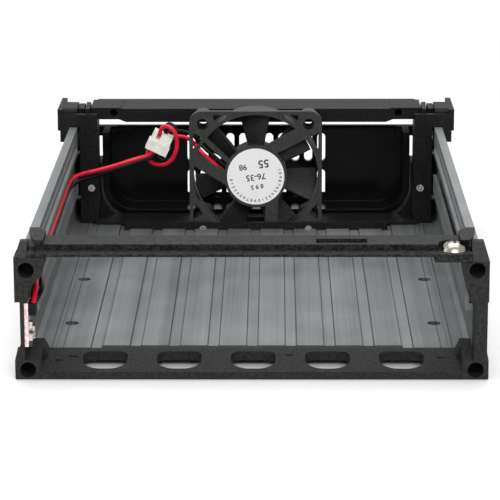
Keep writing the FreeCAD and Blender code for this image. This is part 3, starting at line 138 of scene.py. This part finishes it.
def relief(tree, height, strength, depth, base=None):
    """The surface's normal with a fine relief on it, or on the softened base normal."""
    bump = tree.nodes.new("ShaderNodeBump")
    feed(tree, bump.inputs["Height"], height)
    feed(tree, bump.inputs["Strength"], strength)
    feed(tree, bump.inputs["Distance"], depth)
    if base is not None:
        feed(tree, bump.inputs["Normal"], base)
    return bump.outputs["Normal"]


def dress(owners, finish):
    """Give each of these solids this one finish in place of its own."""
    for owner in owners:
        nodes[owner].data.materials.clear()
        nodes[owner].data.materials.append(finish)


metal = bpy.data.materials.new("extruded_aluminium")
metal.use_nodes = True
tree = metal.node_tree
shader = tree.nodes["Principled BSDF"]
place = tree.nodes.new("ShaderNodeTexCoord").outputs["Object"]
drawing = tree.nodes.new("ShaderNodeMapping")
drawing.inputs["Scale"].default_value = drawn_out
feed(tree, drawing.inputs["Vector"], place)
drawn = drawing.outputs["Vector"]
lines = mottle(tree, drawn, scale=2300, detail=6, roughness=0.7)
strips = mottle(tree, drawn, scale=210, detail=3)
patches = mottle(tree, place, scale=60, detail=8)
lined = blend(tree, "FLOAT", lines_share, strips, lines)
tone = tree.nodes.new("ShaderNodeValToRGB")
tone.color_ramp.elements[0].position = darker_until
tone.color_ramp.elements[0].color = darker_metal
tone.color_ramp.elements[1].position = paler_from
tone.color_ramp.elements[1].color = paler_metal
feed(tree, tone.inputs["Fac"], blend(tree, "FLOAT", patches_share, lined, patches))

# Painted shade: a dark line along each edge of the floor's grooves, multiplied into the metal's
# colour.
axes = tree.nodes.new("ShaderNodeSeparateXYZ")
feed(tree, axes.inputs["Vector"], place)
from_middle = work_out(tree, "PINGPONG", axes.outputs["X"], groove_pitch / 2)
from_edge = work_out(tree, "SUBTRACT", from_middle, groove_edge_from_middle)
on_line = work_out(tree, "LESS_THAN", work_out(tree, "ABSOLUTE", from_edge), painted_shade_half_width)
on_floor = work_out(tree, "LESS_THAN", axes.outputs["Z"], painted_shade_below)
groove_edge_shade = work_out(tree, "MULTIPLY", on_line, on_floor)
groove_shaded = blend(tree, "RGBA", groove_edge_shade, tone.outputs["Color"], painted_shade_tint, way="MULTIPLY")
dulled = spread(tree, patches, low=0, high=1, to_low=0.48, to_high=0.64)
feed(tree, shader.inputs["Base Color"], groove_shaded)
feed(tree, shader.inputs["Roughness"], dulled)
feed(tree, shader.inputs["Normal"], relief(tree, lines, strength=0.3, depth=0.00002))
shader.inputs["Metallic"].default_value = 1.0
dress(("channel",), metal)


# The black mouldings
# Filled nylon out of spark-eroded moulds: grains of about 0.4 mm, paler specks about twice as
# wide, and softly rounded edges. The crossbar is the most speckled, and the fan is greyer.
def start_group(name, inputs, outputs):
    """An empty shader group, with the sockets of its named inputs and of its named outputs."""
    group = bpy.data.node_groups.new(name, "ShaderNodeTree")
    for label, kind, value in inputs:
        socket = group.interface.new_socket(
            name=label, in_out="INPUT", socket_type="NodeSocket" + kind)
        socket.default_value = value
    for label, kind in outputs:
        group.interface.new_socket(
            name=label, in_out="OUTPUT", socket_type="NodeSocket" + kind)
    given = group.nodes.new("NodeGroupInput").outputs
    made = group.nodes.new("NodeGroupOutput").inputs
    return group, given, made


grain_group, given, made = start_group(
    "moulded_grain",
    (("Dark", "Color", (0.01, 0.01, 0.01, 1)), ("Light", "Color", (0.02, 0.02, 0.02, 1)),
     ("Grain Scale", "Float", 2400.0), ("Grain Depth", "Float", 0.3),
     ("Edge Round", "Float", 0.0002)),
    (("Color", "Color"), ("Normal", "Vector")),
)
place = grain_group.nodes.new("ShaderNodeTexCoord").outputs["Object"]
grains = mottle(grain_group, place, given["Grain Scale"], detail=4)
specks = mottle(grain_group, place, scale=1300, detail=6, roughness=0.7)
paler = spread(grain_group, specks, low=0.42, high=0.62)
softened = grain_group.nodes.new("ShaderNodeBevel")
softened.samples = 4
feed(grain_group, softened.inputs["Radius"], given["Edge Round"])
feed(grain_group, made["Color"],
     blend(grain_group, "RGBA", paler, given["Dark"], given["Light"]))
feed(grain_group, made["Normal"],
     relief(grain_group, grains, given["Grain Depth"], depth=0.0001,
            base=softened.outputs["Normal"]))

for name, owners, dark, light, roughness, shine, scale, depth, edge in (
    ("textured_black", ("connector_frame",), 0.013, 0.030, 0.55, 0.10, 2400, 0.5, 0.00025),
    ("speckled_black", ("top_crossbar",), 0.003, 0.032, 0.55, 0.10, 2400, 0.6, 0.00025),
    ("satin_black", ("front_frame", "surround", "board_terminal"),
     0.004, 0.012, 0.5, 0.10, 2600, 0.2, 0.0002),
    ("fan_grey", ("fan_housing", "fan_impeller"), 0.026, 0.044, 0.5, 0.2, 3000, 0.15, 0.00015),
    ("polished_black", ("front_door",), 0.001, 0.002, 0.2, 0.12, 240, 0.03, 0.0004),
):
    plastic = bpy.data.materials.new(name)
    plastic.use_nodes = True
    shader = plastic.node_tree.nodes["Principled BSDF"]
    grain = plastic.node_tree.nodes.new("ShaderNodeGroup")
    grain.node_tree = grain_group
    grain.inputs["Dark"].default_value = (dark, dark, dark * 0.95, 1)
    grain.inputs["Light"].default_value = (light, light, light * 0.96, 1)
    grain.inputs["Grain Scale"].default_value = scale
    grain.inputs["Grain Depth"].default_value = depth
    grain.inputs["Edge Round"].default_value = edge
    feed(plastic.node_tree, shader.inputs["Base Color"], grain.outputs["Color"])
    feed(plastic.node_tree, shader.inputs["Normal"], grain.outputs["Normal"])
    shader.inputs["Roughness"].default_value = roughness
    shader.inputs["Specular IOR Level"].default_value = shine
    dress(owners, plastic)

# The door's arms and the top edge of its dish are dull. The dish below them is polished.
polish_ends = 0.0288
dull_begins = 0.0300
tree = nodes["front_door"].data.materials[0].node_tree
axes = tree.nodes.new("ShaderNodeSeparateXYZ")
feed(tree, axes.inputs["Vector"], tree.nodes.new("ShaderNodeTexCoord").outputs["Object"])
dulled = spread(tree, axes.outputs["Z"], polish_ends, dull_begins, to_low=0.2, to_high=0.7)
feed(tree, tree.nodes["Principled BSDF"].inputs["Roughness"], dulled)


# The screws, pins and other metal
# Plated and plain steel, laminations, enamelled copper and turned brass. Handling varies the
# polish on a scale of about 1 mm, and the screw tips and solder have facets that sparkle.
polish_group, given, made = start_group(
    "handled_polish",
    (("Smooth", "Float", 0.1), ("Rough", "Float", 0.3), ("Facets", "Float", 0.0)),
    (("Roughness", "Float"), ("Normal", "Vector")),
)
place = polish_group.nodes.new("ShaderNodeTexCoord").outputs["Object"]
handling = mottle(polish_group, place, scale=900, detail=3)
facets = polish_group.nodes.new("ShaderNodeTexVoronoi")
facets.inputs["Scale"].default_value = 1500
feed(polish_group, facets.inputs["Vector"], place)
feed(polish_group, made["Roughness"],
     spread(polish_group, handling, 0.3, 0.7, given["Smooth"], given["Rough"]))
feed(polish_group, made["Normal"],
     relief(polish_group, facets.outputs["Distance"], given["Facets"], depth=0.0001))

for name, owners, shade, smooth, rough, facet_depth in (
    ("bright_chrome", ("crossbar_screw",), (0.27, 0.25, 0.22), 0.14, 0.34, 0.2),
    ("bright_plating", ("post_screws", "board_parts"), (0.50, 0.47, 0.43), 0.12, 0.3, 0.9),
    ("dull_plating", ("fan_screws",), (0.26, 0.26, 0.25), 0.15, 0.4, 1.0),
    ("plain_steel", ("connector_frame_screws", "front_frame_screws", "fan_shaft"),
     (0.16, 0.16, 0.16), 0.3, 0.5, 0.1),
    ("blackened_steel", ("hinge_pins",), (0.03, 0.03, 0.032), 0.35, 0.5, 0.1),
    ("laminated_steel", ("fan_stator",), (0.33, 0.33, 0.34), 0.4, 0.55, 0.1),
    ("enamelled_copper", ("fan_coils",), (0.62, 0.25, 0.09), 0.22, 0.4, 0.3),
    ("yellow_brass", ("fan_bearing", "coupling_pins"), (0.72, 0.55, 0.24), 0.2, 0.35, 0.0),
):
    plating = bpy.data.materials.new(name)
    plating.use_nodes = True
    shader = plating.node_tree.nodes["Principled BSDF"]
    polish = plating.node_tree.nodes.new("ShaderNodeGroup")
    polish.node_tree = polish_group
    polish.inputs["Smooth"].default_value = smooth
    polish.inputs["Rough"].default_value = rough
    polish.inputs["Facets"].default_value = facet_depth
    feed(plating.node_tree, shader.inputs["Roughness"], polish.outputs["Roughness"])
    feed(plating.node_tree, shader.inputs["Normal"], polish.outputs["Normal"])
    shader.inputs["Base Color"].default_value = (*shade, 1)
    shader.inputs["Metallic"].default_value = 1.0
    dress(owners, plating)


# The coupling, the circuit boards and the magnet
# The coupling is moulded in milky nylon, the boards are woven glass under red or green lacquer,
# and the ring is bonded ferrite. The red board's pale tones are painted glare, the light that
# the board on edge mirrors, painted into its colour.
speckle_group, given, made = start_group(
    "speckled_tone",
    (("Scale", "Float", 500.0),
     ("Dark", "Color", (0, 0, 0, 1)), ("Light", "Color", (1, 1, 1, 1))),
    (("Color", "Color"),),
)
place = speckle_group.nodes.new("ShaderNodeTexCoord").outputs["Object"]
specks = mottle(speckle_group, place, given["Scale"], detail=4)
paler = spread(speckle_group, specks, low=0.34, high=0.66)
feed(speckle_group, made["Color"],
     blend(speckle_group, "RGBA", paler, given["Dark"], given["Light"]))


def speckled_material(name, dark, light, scale, roughness, shine=0.5, coat=0.0):
    """A material whose colour drifts between these two tones in small soft specks."""
    skin = bpy.data.materials.new(name)
    skin.use_nodes = True
    shader = skin.node_tree.nodes["Principled BSDF"]
    specks = skin.node_tree.nodes.new("ShaderNodeGroup")
    specks.node_tree = speckle_group
    specks.inputs["Scale"].default_value = scale
    specks.inputs["Dark"].default_value = (*dark, 1)
    specks.inputs["Light"].default_value = (*light, 1)
    feed(skin.node_tree, shader.inputs["Base Color"], specks.outputs["Color"])
    shader.inputs["Roughness"].default_value = roughness
    shader.inputs["Specular IOR Level"].default_value = shine
    shader.inputs["Coat Weight"].default_value = coat
    return skin


for name, owners, dark, light, scale, roughness, coat in (
    ("milky_nylon", ("lead_plug", "harness_socket"),
     (0.72, 0.70, 0.64), (0.88, 0.87, 0.82), 500, 0.4, 0.1),
    # The red board's pale colours are painted glare over the red lacquer.
    ("red_lacquer_with_painted_glare", ("circuit_board",), (0.85, 0.38, 0.40), (1.0, 0.93, 0.93), 1100, 0.2, 1.0),
    ("green_lacquer", ("fan_driver_board",),
     (0.01, 0.1, 0.04), (0.02, 0.17, 0.07), 700, 0.3, 0.5),
    ("bonded_ferrite", ("fan_magnet",),
     (0.04, 0.037, 0.034), (0.06, 0.055, 0.05), 900, 0.7, 0.0),
):
    dress(owners, speckled_material(name, dark, light, scale, roughness, coat=coat))


# The fan lead and the harness
# Four limp wires, 1.25 mm over their soft insulation, on the routes of the solid tubes. The lead
# goes from the hub along a strut and round the coupling, and the harness follows the left wall.
wire_diameter = 0.00125
# The two tones and the shine of each insulation.
wire_skins = {
    "red": ((0.53, 0.003, 0.022), (0.72, 0.009, 0.040), 0.26),
    "black": ((0.003, 0.003, 0.003), (0.007, 0.007, 0.007), 0.12),
}
# The length of each wire in metres, and its route in millimetres.
wire_routes = {
    "fan_lead_red": (0.0608, [
        (-8.2, 56.0, 20.1), (-12.9, 55.75, 24.3), (-17.3, 55.6, 28.3), (-19.6, 58.7, 31.0),
        (-23.8, 60.6, 31.6), (-28.8, 61.4, 30.2), (-33.0, 60.4, 27.4), (-32.6, 58.6, 24.2),
        (-30.0, 56.2, 23.3), (-26.2, 54.5, 24.0), (-23.6, 53.8, 28.2), (-23.6, 53.9, 33.4),
        (-26.2, 54.5, 36.0), (-28.7, 55.1, 35.2), (-28.95, 55.5, 32.4),
    ]),
    "fan_lead_black": (0.0589, [
        (-7.2, 56.0, 21.2), (-11.8, 55.85, 25.5), (-16.3, 55.8, 29.5), (-18.9, 59.0, 32.4),
        (-23.4, 62.1, 32.9), (-28.8, 63.0, 31.4), (-31.3, 62.4, 27.8), (-30.2, 60.9, 24.7),
        (-27.6, 58.6, 23.9), (-24.9, 56.4, 25.0), (-24.0, 55.6, 28.4), (-24.0, 55.8, 32.4),
        (-24.6, 56.3, 35.9), (-27.4, 56.9, 35.9), (-27.1, 57.1, 32.4),
    ]),
    "harness_red": (0.1559, [
        (-30.2, 55.8, 28.2), (-32.0, 55.7, 26.4), (-36.6, 55.4, 25.4), (-42.0, 53.3, 23.9),
        (-47.6, 49.8, 23.1), (-52.5, 44.4, 23.1), (-54.4, 37.0, 23.3), (-54.66, 23.0, 23.26),
        (-54.6, -1.4, 23.2), (-54.66, -29.4, 23.26), (-54.6, -55.0, 23.4), (-54.5, -69.0, 23.3),
        (-54.1, -77.0, 22.6), (-54.0, -81.0, 20.9), (-54.45, -83.0, 18.6),
    ]),
    "harness_black": (0.1560, [
        (-28.8, 57.6, 27.8), (-30.8, 57.3, 25.4), (-36.4, 57.0, 24.0), (-41.4, 55.0, 22.5),
        (-46.6, 51.4, 21.6), (-51.0, 45.8, 21.2), (-53.0, 40.4, 21.9), (-54.5, 32.6, 21.88),
        (-54.66, 20.0, 21.9), (-54.6, -2.0, 21.92), (-54.66, -30.0, 21.9), (-54.6, -53.6, 21.98),
        (-54.3, -66.6, 21.96), (-52.8, -74.0, 21.9), (-52.6, -78.8, 20.8), (-54.1, -80.4, 18.6),
    ]),
}

for color, (dark, light, shine) in wire_skins.items():
    insulation = speckled_material(
        color + "_insulation", dark, light, scale=420, roughness=0.3, shine=shine)
    for name, (length, route) in wire_routes.items():
        if not name.endswith(color):
            continue
        points = [(x / 1000, y / 1000, z / 1000) for x, y, z in route]
        curve = bpy.data.curves.new(name + "_insulation", "CURVE")
        curve.dimensions = "3D"
        curve.bevel_depth = wire_diameter / 2
        curve.bevel_resolution = 5
        curve.resolution_u = 10
        curve.use_fill_caps = True
        spline = curve.splines.new("NURBS")
        spline.points.add(len(points) - 1)
        for control, point in zip(spline.points, points):
            control.co = (*point, 1)
        spline.order_u = 3
        spline.use_endpoint_u = True
        curve.materials.append(insulation)
        wire = bpy.data.objects.new(name + "_insulation", curve)
        bpy.context.collection.objects.link(wire)
        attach(wire, "tray")
        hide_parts(name)


# The fan label
# A white paper disc, 17.3 mm across and 0.1 mm thick, stuck on the hub upside down, as fans often
# come, and printed with plain generic numbers only. It rides on the tray with the fan housing.
label_middle = Vector((0, 0.05515, 0.02005))
label_radius = 0.00865
label_thickness = 0.0001
label_turn = math.radians(188)
cut_edge_width = 0.00003
bpy.ops.mesh.primitive_cylinder_add(
    vertices=96, radius=label_radius, depth=label_thickness,
    location=label_middle, rotation=(math.pi / 2, 0, 0))
label = bpy.context.object
label.name = "fan_label"
cut_edge = label.modifiers.new("cut_edge", "BEVEL")
cut_edge.width = cut_edge_width
cut_edge.segments = 2
label.data.materials.append(speckled_material(
    "label_paper", (0.86, 0.86, 0.845), (0.92, 0.92, 0.905), scale=1500, roughness=0.45))
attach(label, "tray")

# The numbers: the text of each, its height, its place across and up the disc, and its tilt. A
# row of small digits runs round the upper half of the rim.
ink_proud = 0.00001
ink_thickness = 0.00002
bolder = 0.018
digit_count = 22
digit_height = 0.0012
digit_step = math.radians(9)
digit_row_radius = 0.0074
printed = [
    ("76-35", 0.0026, 0.0, 0.0001, 0.0),
    ("8 9 5", 0.0019, 0.0, 0.0031, 0.0),
    ("55", 0.0034, -0.0029, -0.0037, 0.0),
    ("98", 0.0024, 0.0034, -0.0034, 0.0),
]
for step in range(digit_count):
    tilt = step * digit_step - math.pi / 2
    printed.append((str(step % 10), digit_height, -digit_row_radius * math.sin(tilt),
                    digit_row_radius * math.cos(tilt), tilt))

on_hub = Matrix.Rotation(math.pi / 2, 4, "X") @ Matrix.Rotation(label_turn, 4, "Z")
ink_shape = bmesh.new()
for text, height, across, up, tilt in printed:
    letters = bpy.data.curves.new("figures", "FONT")
    letters.body = text
    letters.size = height
    letters.align_x = "CENTER"
    letters.align_y = "CENTER"
    letters.extrude = ink_thickness
    letters.offset = height * bolder
    holder = bpy.data.objects.new("figures", letters)
    bpy.context.collection.objects.link(holder)
    solid = holder.evaluated_get(bpy.context.evaluated_depsgraph_get())
    flat = solid.to_mesh()
    flat.transform(on_hub @ Matrix.Translation((across, up, 0)) @ Matrix.Rotation(tilt, 4, "Z"))
    ink_shape.from_mesh(flat)
    solid.to_mesh_clear()
    bpy.data.objects.remove(holder)
ink_mesh = bpy.data.meshes.new("label_numbers")
ink_shape.to_mesh(ink_mesh)
ink_shape.free()
ink = bpy.data.objects.new("label_numbers", ink_mesh)
ink.location = label_middle - Vector((0, label_thickness / 2 + ink_proud, 0))
bpy.context.collection.objects.link(ink)
ink_mesh.materials.append(speckled_material(
    "printing_ink", (0.015, 0.015, 0.018), (0.05, 0.05, 0.055), scale=1800, roughness=0.5))
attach(ink, "tray")


# The floor and the light
# A pale plain floor takes the soft shadow, and the background is white to the camera and in
# reflections. A large soft box hangs overhead, one lights the front and a dim one fills the left.
floor_size = 8
floor_drop = 0.0002
white_begins = 0.11
all_white = 0.32
white_strength = 1.0
ambient_strength = 0.25
lamps_aim = Vector((0, 0, 0.02))


def seen_by_camera(tree):
    """1 where the camera looks, straight or by a reflection or through glass, and else 0."""
    path = tree.nodes.new("ShaderNodeLightPath").outputs
    indirect = work_out(tree, "MAXIMUM", path["Is Glossy Ray"], path["Is Transmission Ray"])
    return work_out(tree, "MAXIMUM", path["Is Camera Ray"], indirect)


bpy.ops.mesh.primitive_plane_add(size=floor_size, location=(0, 0, -floor_drop))
floor = bpy.context.object
floor.name = "floor"
ground = speckled_material(
    "pale_floor", (0.88, 0.88, 0.88), (0.90, 0.90, 0.90), scale=40, roughness=0.4)
tree = ground.node_tree
distance = tree.nodes.new("ShaderNodeVectorMath")
distance.operation = "LENGTH"
feed(tree, distance.inputs[0], tree.nodes.new("ShaderNodeTexCoord").outputs["Object"])
away = spread(tree, distance.outputs["Value"], white_begins, all_white,
              interpolation="SMOOTHSTEP")
glow = tree.nodes.new("ShaderNodeEmission")
glow.inputs["Color"].default_value = (1, 1, 1, 1)
glow.inputs["Strength"].default_value = white_strength
fading = tree.nodes.new("ShaderNodeMixShader")
feed(tree, fading.inputs["Fac"], work_out(tree, "MULTIPLY", away, seen_by_camera(tree)))
feed(tree, fading.inputs[1], tree.nodes["Principled BSDF"].outputs["BSDF"])
feed(tree, fading.inputs[2], glow.outputs["Emission"])
feed(tree, tree.nodes["Material Output"].inputs["Surface"], fading.outputs["Shader"])
floor.data.materials.append(ground)

world = bpy.data.worlds.new("studio")
bpy.context.scene.world = world
world.use_nodes = True
tree = world.node_tree
tree.nodes.clear()
surroundings = tree.nodes.new("ShaderNodeMixShader")
feed(tree, surroundings.inputs["Fac"], seen_by_camera(tree))
for socket, strength in zip(surroundings.inputs[1:], (ambient_strength, white_strength)):
    white = tree.nodes.new("ShaderNodeBackground")
    white.inputs["Color"].default_value = (1, 1, 1, 1)
    white.inputs["Strength"].default_value = strength
    feed(tree, socket, white.outputs["Background"])
output = tree.nodes.new("ShaderNodeOutputWorld")
feed(tree, output.inputs["Surface"], surroundings.outputs["Shader"])

for name, place, size, power in (
    ("overhead", (0.0, 0.05, 0.75), (0.9, 0.7), 6.6),
    ("front", (0.1, -0.9, 0.55), (0.8, 0.4), 7.0),
    ("left", (-0.8, 0.0, 0.4), (0.5, 0.5), 1.5),
):
    lamp = bpy.data.lights.new(name, "AREA")
    lamp.shape = "RECTANGLE"
    lamp.size, lamp.size_y = size
    lamp.energy = power
    holder = bpy.data.objects.new(name, lamp)
    holder.location = place
    holder.rotation_euler = (lamps_aim - Vector(place)).to_track_quat("-Z", "Y").to_euler()
    bpy.context.collection.objects.link(holder)

bpy.context.scene.view_settings.view_transform = "Standard"
